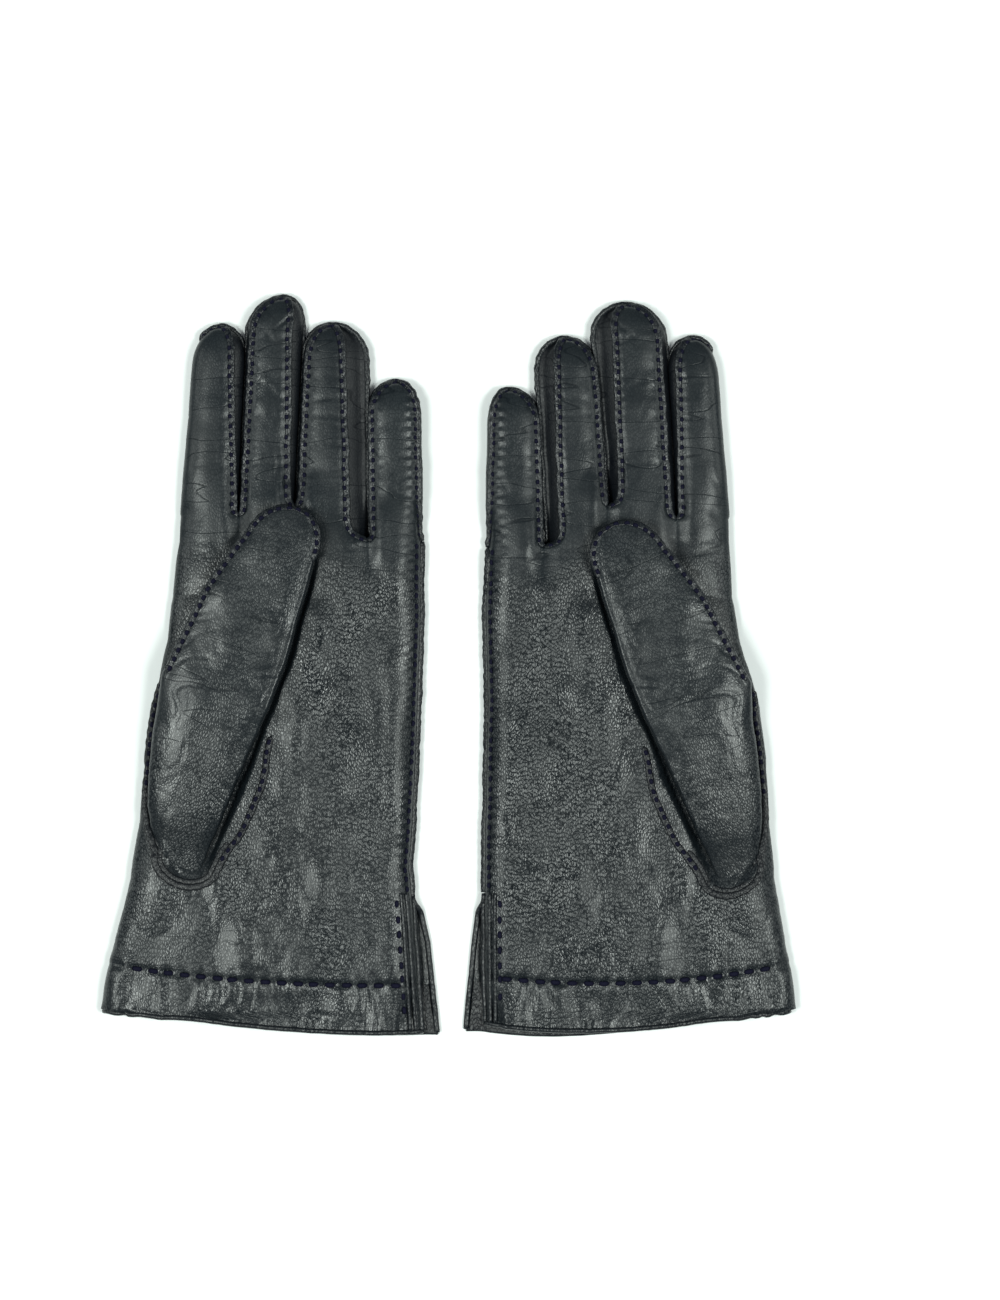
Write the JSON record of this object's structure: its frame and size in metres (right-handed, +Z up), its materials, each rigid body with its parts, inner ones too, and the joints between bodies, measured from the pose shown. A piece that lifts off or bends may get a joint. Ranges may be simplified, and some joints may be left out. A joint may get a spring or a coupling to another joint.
{
  "type": "pair of leather gloves",
  "caption": "Slim hand-sewn leather dress gloves lying palm up, with thumbs folded over the palms, bound hems and a vent in each side seam.",
  "frame": {"origin": "on the surface the gloves lie on, at the middle of the pair's outline", "axes": "+X towards the right glove, +Y towards the fingertips, +Z up out of the palms"},
  "size_m": [0.2252, 0.2429, 0.0183],
  "materials": {
    "glove_leather": "semi-gloss fine-grained kid leather, near-black navy grey",
    "binding_leather": "smoother, slightly darker kid leather, as cut for bindings and hem facing",
    "thread": "waxed navy sewing thread"
  },
  "bodies": {
    "left_hand": {"left_palm_panel": "glove_leather", "left_back_panel": "glove_leather", "left_hem_facing": "binding_leather", "left_cuff_binding": "binding_leather", "left_vent_binding": "binding_leather", "left_hem_thread": "thread", "left_side_seam_thread": "thread", "left_thumb_base": "glove_leather", "left_thumb_base_thread": "thread"},
    "left_thumb": {"left_thumb_front": "glove_leather", "left_thumb_back": "glove_leather", "left_thumb_thread": "thread"},
    "left_index": {"left_index_front": "glove_leather", "left_index_back": "glove_leather", "left_index_fourchette": "glove_leather", "left_index_thread": "thread"},
    "left_middle": {"left_middle_front": "glove_leather", "left_middle_back": "glove_leather", "left_middle_fourchettes": "glove_leather", "left_middle_thread": "thread"},
    "left_ring": {"left_ring_front": "glove_leather", "left_ring_back": "glove_leather", "left_ring_fourchettes": "glove_leather", "left_ring_thread": "thread"},
    "left_little": {"left_little_front": "glove_leather", "left_little_back": "glove_leather", "left_little_fourchette": "glove_leather", "left_little_thread": "thread"},
    "right_hand": {"right_palm_panel": "glove_leather", "right_back_panel": "glove_leather", "right_hem_facing": "binding_leather", "right_cuff_binding": "binding_leather", "right_vent_binding": "binding_leather", "right_hem_thread": "thread", "right_side_seam_thread": "thread", "right_thumb_base": "glove_leather", "right_thumb_base_thread": "thread"},
    "right_thumb": {"right_thumb_front": "glove_leather", "right_thumb_back": "glove_leather", "right_thumb_thread": "thread"},
    "right_index": {"right_index_front": "glove_leather", "right_index_back": "glove_leather", "right_index_fourchette": "glove_leather", "right_index_thread": "thread"},
    "right_middle": {"right_middle_front": "glove_leather", "right_middle_back": "glove_leather", "right_middle_fourchettes": "glove_leather", "right_middle_thread": "thread"},
    "right_ring": {"right_ring_front": "glove_leather", "right_ring_back": "glove_leather", "right_ring_fourchettes": "glove_leather", "right_ring_thread": "thread"},
    "right_little": {"right_little_front": "glove_leather", "right_little_back": "glove_leather", "right_little_fourchette": "glove_leather", "right_little_thread": "thread"}
  },
  "joints": [
    {"name": "left_thumb_lift", "type": "hinge", "parent": "left_hand", "child": "left_thumb", "pos_m": [-0.076, -0.0085, 0.0141], "axis": [0.9537, -0.3007, 0], "range_deg": [0, 65]},
    {"name": "left_index_bend", "type": "hinge", "parent": "left_hand", "child": "left_index", "pos_m": [-0.0782, 0.056, 0.0043], "axis": [1, 0, 0], "range_deg": [0, 80]},
    {"name": "left_middle_bend", "type": "hinge", "parent": "left_hand", "child": "left_middle", "pos_m": [-0.0591, 0.059, 0.0043], "axis": [1, 0, 0], "range_deg": [0, 80]},
    {"name": "left_ring_bend", "type": "hinge", "parent": "left_hand", "child": "left_ring", "pos_m": [-0.0391, 0.059, 0.0043], "axis": [1, 0, 0], "range_deg": [0, 80]},
    {"name": "left_little_bend", "type": "hinge", "parent": "left_hand", "child": "left_little", "pos_m": [-0.0185, 0.048, 0.0043], "axis": [1, 0, 0], "range_deg": [0, 80]},
    {"name": "right_glove_lift", "type": "slide", "parent": "left_hand", "child": "right_hand", "axis": [0, 0, 1], "range_m": [0, 0.25]},
    {"name": "right_thumb_lift", "type": "hinge", "parent": "right_hand", "child": "right_thumb", "pos_m": [0.0806, -0.0115, 0.0141], "axis": [0.9455, 0.3256, 0], "range_deg": [0, 65]},
    {"name": "right_index_bend", "type": "hinge", "parent": "right_hand", "child": "right_index", "pos_m": [0.0826, 0.055, 0.0043], "axis": [1, 0, 0], "range_deg": [0, 80]},
    {"name": "right_middle_bend", "type": "hinge", "parent": "right_hand", "child": "right_middle", "pos_m": [0.0642, 0.059, 0.0043], "axis": [1, 0, 0], "range_deg": [0, 80]},
    {"name": "right_ring_bend", "type": "hinge", "parent": "right_hand", "child": "right_ring", "pos_m": [0.0436, 0.059, 0.0043], "axis": [1, 0, 0], "range_deg": [0, 80]},
    {"name": "right_little_bend", "type": "hinge", "parent": "right_hand", "child": "right_little", "pos_m": [0.0222, 0.046, 0.0043], "axis": [1, 0, 0], "range_deg": [0, 80]}
  ]
}
